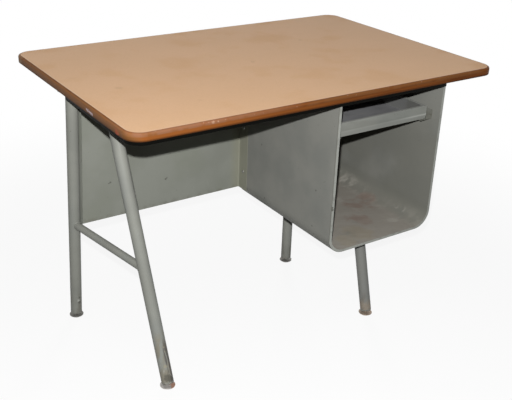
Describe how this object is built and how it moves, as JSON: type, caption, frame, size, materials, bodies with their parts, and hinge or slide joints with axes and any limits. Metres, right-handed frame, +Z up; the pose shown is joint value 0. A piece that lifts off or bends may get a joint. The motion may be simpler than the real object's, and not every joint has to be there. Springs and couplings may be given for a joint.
{
  "type": "school desk",
  "caption": "Steel-tube school desk with a laminate top, an open sheet-steel book pedestal, a pull-out pencil tray, a modesty panel and slanted legs on swivel glides.",
  "frame": {"origin": "on the floor, under the middle of the top", "axes": "+X to the pedestal side, at the user's right hand; +Y to the back, away from the user; +Z up"},
  "size_m": [1.206, 0.796, 0.76],
  "materials": {
    "laminate": "satin tan decorative laminate, worn",
    "core": "raw particle board",
    "backing": "plain brown balancing sheet",
    "edge_wood": "varnished hardwood lipping, worn on its upper edge",
    "enamel": "grey stoved enamel, scratched",
    "fastener": "dull zinc plate",
    "collar": "grey moulded nylon",
    "glide_steel": "nickel plate, brown with rust"
  },
  "bodies": {
    "desk": {"top_laminate": "laminate", "top_board": "core", "top_backing_sheet": "backing", "top_edge_band": "edge_wood", "rear_left_leg": "enamel", "front_left_leg": "enamel", "rear_right_leg": "enamel", "front_right_leg": "enamel", "left_stretcher": "enamel", "left_leg_plate": "enamel", "leg_bearer": "enamel", "pedestal_shell": "enamel", "pedestal_back": "enamel", "modesty_panel": "enamel", "left_tray_runner": "enamel", "right_tray_runner": "enamel", "top_screws": "fastener", "modesty_screws": "fastener", "rear_left_glide_plug": "collar", "front_left_glide_plug": "collar", "rear_right_glide_plug": "collar", "front_right_glide_plug": "collar"},
    "pencil_tray": {"pencil_tray": "enamel", "left_tray_keeper": "fastener", "right_tray_keeper": "fastener"},
    "rear_left_glide": {"rear_left_glide": "glide_steel"},
    "front_left_glide": {"front_left_glide": "glide_steel"},
    "rear_right_glide": {"rear_right_glide": "glide_steel"},
    "front_right_glide": {"front_right_glide": "glide_steel"}
  },
  "joints": [
    {"name": "tray_slide", "type": "slide", "parent": "desk", "child": "pencil_tray", "axis": [0, -1, 0], "range_m": [0, 0.26]},
    {"name": "rear_left_swivel", "type": "hinge", "parent": "desk", "child": "rear_left_glide", "pos_m": [-0.581, 0.0903, 0.016], "axis": [1, 0, 0], "range_deg": [-8, 8]},
    {"name": "front_left_swivel", "type": "hinge", "parent": "desk", "child": "front_left_glide", "pos_m": [-0.50372, -0.36418, 0.016], "axis": [1, 0, 0], "range_deg": [-8, 8]},
    {"name": "rear_right_swivel", "type": "hinge", "parent": "desk", "child": "rear_right_glide", "pos_m": [0.181, 0.04, 0.016], "axis": [1, 0, 0], "range_deg": [-8, 8]},
    {"name": "front_right_swivel", "type": "hinge", "parent": "desk", "child": "front_right_glide", "pos_m": [0.20366, -0.36537, 0.016], "axis": [1, 0, 0], "range_deg": [-8, 8]}
  ]
}
